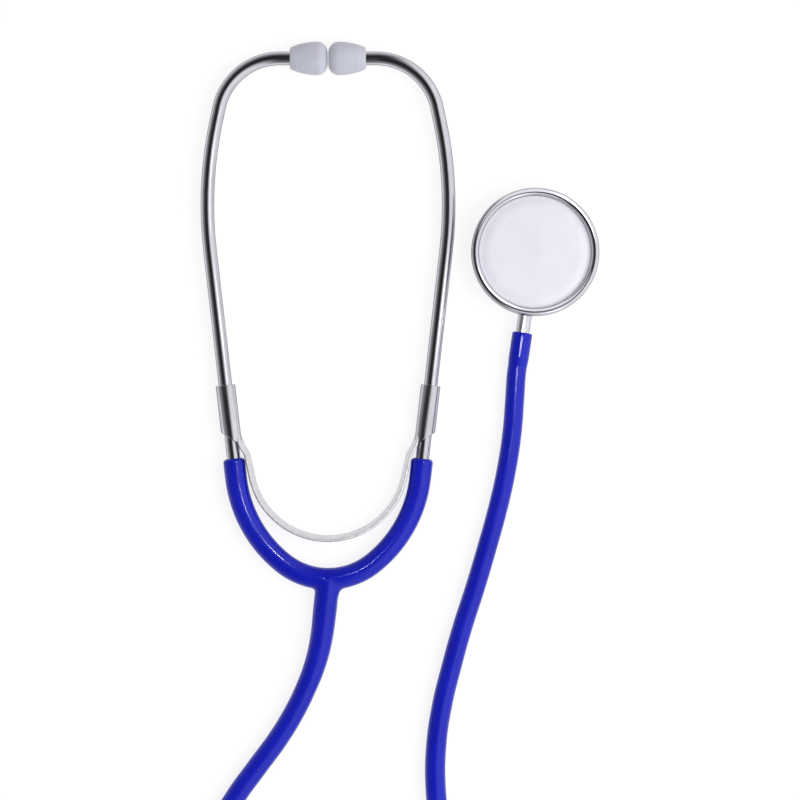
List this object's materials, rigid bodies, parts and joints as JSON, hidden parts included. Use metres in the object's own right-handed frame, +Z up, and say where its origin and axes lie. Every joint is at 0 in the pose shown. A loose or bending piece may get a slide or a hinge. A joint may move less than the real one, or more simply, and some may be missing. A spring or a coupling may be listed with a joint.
{
  "type": "toy stethoscope",
  "caption": "Toy stethoscope with a sprung headset, soft ear tips, a flexible Y hose and a flat round chest piece with a white diaphragm.",
  "frame": {"origin": "on the table, under the middle of the box round the headset and the chest piece, the hose left out", "axes": "+Y towards the ear tips, +X towards the chest piece, +Z up from the table"},
  "size_m": [0.1461, 0.3678, 0.0123],
  "materials": {
    "tip_white": "milky soft plastic",
    "chrome": "polished",
    "hose_blue": "smooth satin vinyl",
    "polished_metal": "polished",
    "disc_white": "smooth"
  },
  "bodies": {
    "tubing": {"y_tube": "hose_blue", "leaf_spring": "chrome", "hose_drop": "hose_blue", "hose_loop": "hose_blue"},
    "left_ear_tube": {"ear_tube_left": "chrome"},
    "right_ear_tube": {"ear_tube_right": "chrome"},
    "left_tip": {"ear_tip_left": "tip_white"},
    "right_tip": {"ear_tip_right": "tip_white"},
    "chest_hose": {"hose_rise": "hose_blue", "hose_end": "hose_blue"},
    "chestpiece": {"chest_stem": "polished_metal", "chest_body": "polished_metal", "diaphragm": "disc_white", "retaining_ring": "polished_metal"}
  },
  "joints": [
    {"name": "left_open", "type": "hinge", "parent": "tubing", "child": "left_ear_tube", "pos_m": [-0.025, -0.07577, 0.00446], "axis": [0, -0.0085, 1], "range_deg": [0, 22], "stiffness_Nm_per_rad": 0.8, "springref_deg": -5.16, "deforming": ["y_tube", "leaf_spring"]},
    {"name": "right_open", "type": "hinge", "parent": "tubing", "child": "right_ear_tube", "pos_m": [-0.025, -0.07577, 0.00446], "axis": [0, -0.0085, 1], "range_deg": [-22, 0], "stiffness_Nm_per_rad": 0.8, "springref_deg": 5.16, "deforming": ["y_tube", "leaf_spring"]},
    {"name": "left_tip_twist", "type": "hinge", "parent": "left_ear_tube", "child": "left_tip", "pos_m": [-0.0317, 0.09371, 0.0059], "axis": [1, 0, 0], "continuous": true},
    {"name": "right_tip_twist", "type": "hinge", "parent": "right_ear_tube", "child": "right_tip", "pos_m": [-0.0183, 0.09371, 0.0059], "axis": [1, 0, 0], "continuous": true},
    {"name": "hose_swing", "type": "hinge", "parent": "tubing", "child": "chest_hose", "pos_m": [-0.007, -0.262, 0.0038], "axis": [0, 0, 1], "range_deg": [-8.8, 0], "deforming": ["hose_loop"]},
    {"name": "chest_twist", "type": "hinge", "parent": "chest_hose", "child": "chestpiece", "pos_m": [0.0437, -0.003, 0.004], "axis": [0.1478, 0.989, 0], "continuous": true}
  ],
  "couplings": [
    {"joint": "right_open", "follows": "left_open", "ratio": -1},
    {"joint": "hose_swing", "follows": "left_open", "ratio": -0.4}
  ]
}
